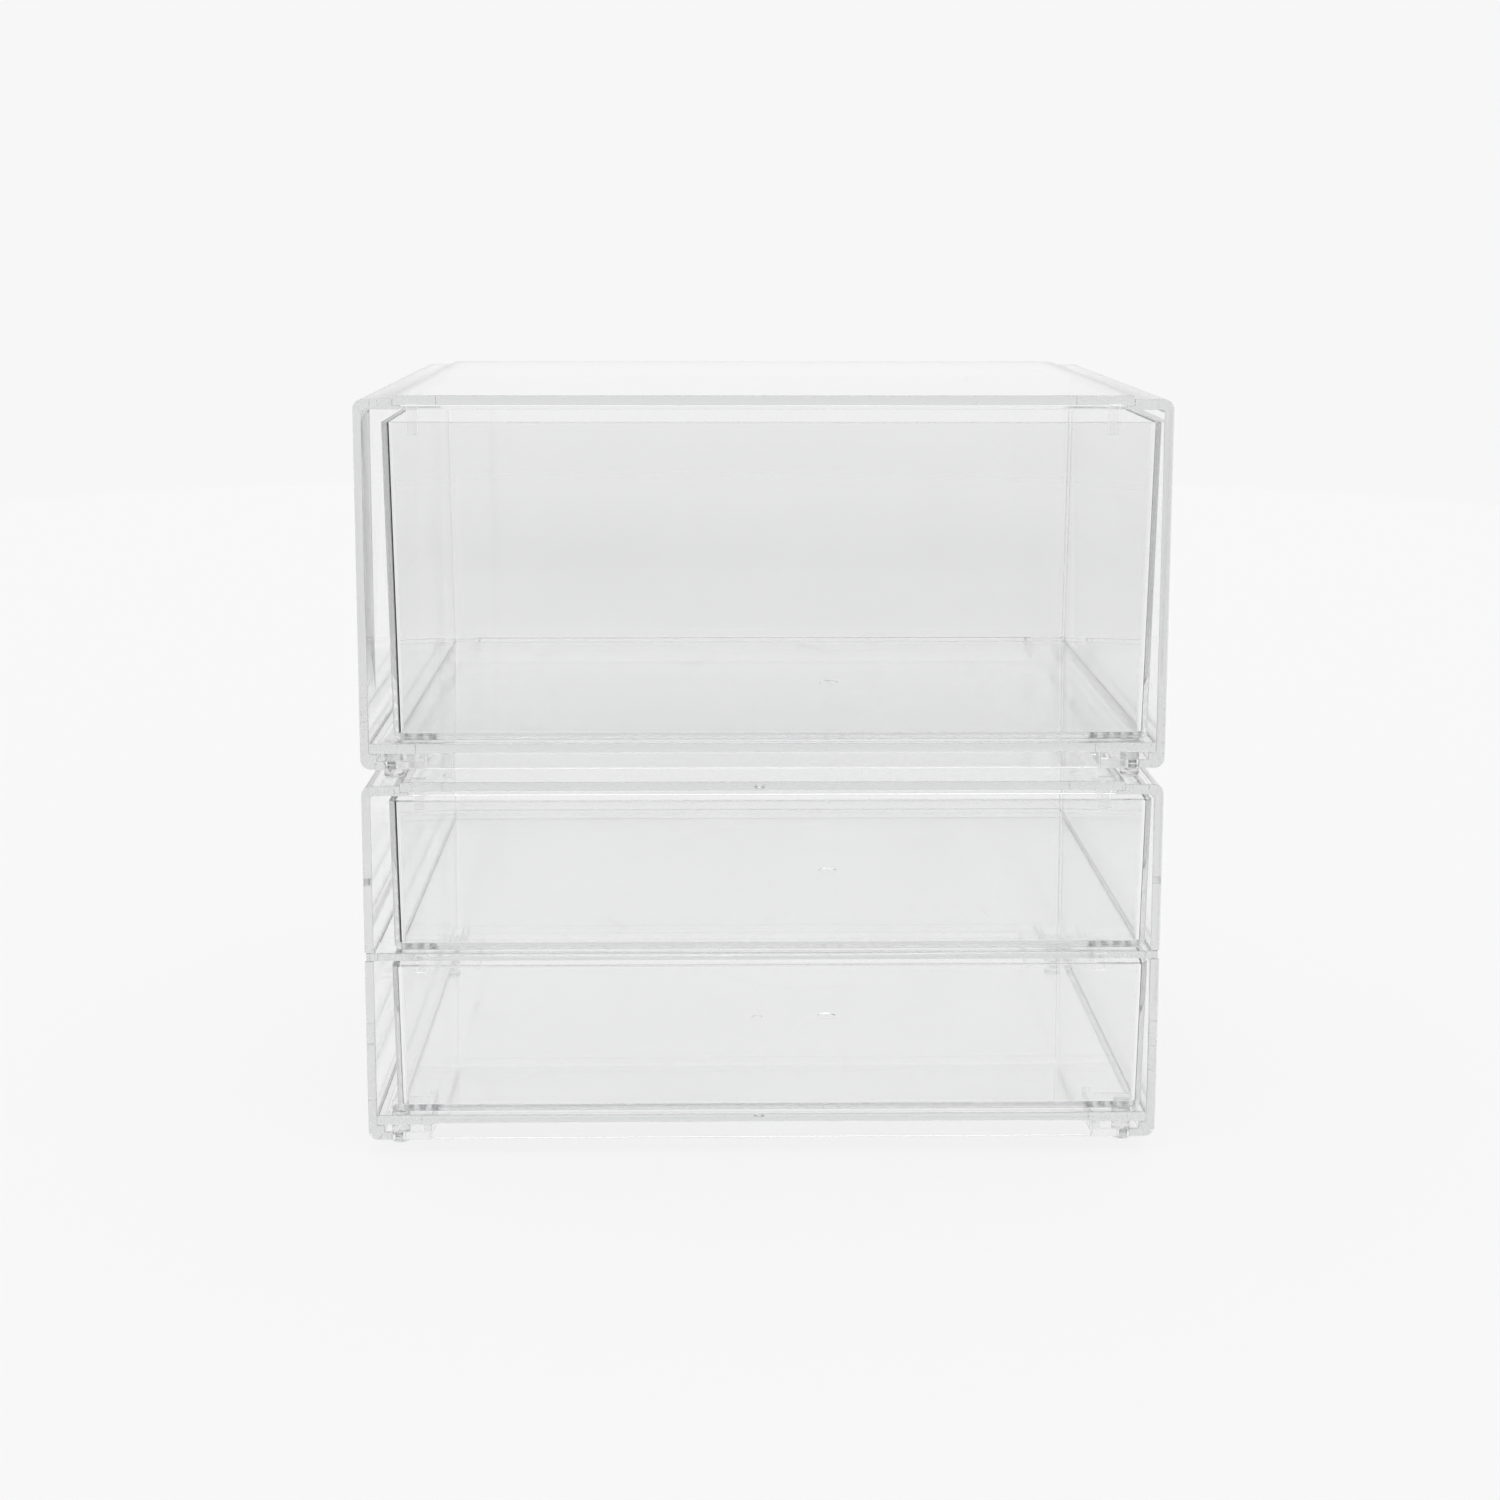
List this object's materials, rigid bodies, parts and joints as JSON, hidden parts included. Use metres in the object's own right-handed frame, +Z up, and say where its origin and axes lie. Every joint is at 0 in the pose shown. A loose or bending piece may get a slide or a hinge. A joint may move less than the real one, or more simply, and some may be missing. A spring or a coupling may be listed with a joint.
{
  "type": "stackable drawer box",
  "caption": "Clear moulded-plastic drawer stack: a casing with a deep drawer stands on a casing whose shelf parts two shallow drawers.",
  "frame": {"origin": "middle of the footprint, on the surface that the lower casing's feet stand on", "axes": "+Z up, -Y towards the front where the drawers pull out, +X to the right seen from the front"},
  "size_m": [0.25, 0.18, 0.2413],
  "materials": {
    "clear_casing": "clear colourless moulded styrene, polished",
    "clear_drawer": "clear colourless moulded styrene, polished",
    "clear_foot": "clear soft plastic, slightly hazy"
  },
  "bodies": {
    "lower_casing": {"lower_left_side": "clear_casing", "lower_right_side": "clear_casing", "lower_top_panel": "clear_casing", "lower_bottom_panel": "clear_casing", "lower_back_panel": "clear_casing", "shelf": "clear_casing", "lower_foot_front_left": "clear_foot", "lower_foot_front_right": "clear_foot", "lower_foot_back_left": "clear_foot", "lower_foot_back_right": "clear_foot"},
    "upper_casing": {"upper_left_side": "clear_casing", "upper_right_side": "clear_casing", "upper_top_panel": "clear_casing", "upper_bottom_panel": "clear_casing", "upper_back_panel": "clear_casing", "upper_foot_front_left": "clear_foot", "upper_foot_front_right": "clear_foot", "upper_foot_back_left": "clear_foot", "upper_foot_back_right": "clear_foot"},
    "deep_drawer": {"deep_drawer": "clear_drawer"},
    "middle_drawer": {"middle_drawer": "clear_drawer"},
    "bottom_drawer": {"bottom_drawer": "clear_drawer"}
  },
  "joints": [
    {"name": "upper_lift", "type": "slide", "parent": "lower_casing", "child": "upper_casing", "axis": [0, 0, 1], "range_m": [0, 0.05]},
    {"name": "deep_drawer_slide", "type": "slide", "parent": "upper_casing", "child": "deep_drawer", "axis": [0, -1, 0], "range_m": [0, 0.158]},
    {"name": "middle_drawer_slide", "type": "slide", "parent": "lower_casing", "child": "middle_drawer", "axis": [0, -1, 0], "range_m": [0, 0.158]},
    {"name": "bottom_drawer_slide", "type": "slide", "parent": "lower_casing", "child": "bottom_drawer", "axis": [0, -1, 0], "range_m": [0, 0.158]}
  ]
}
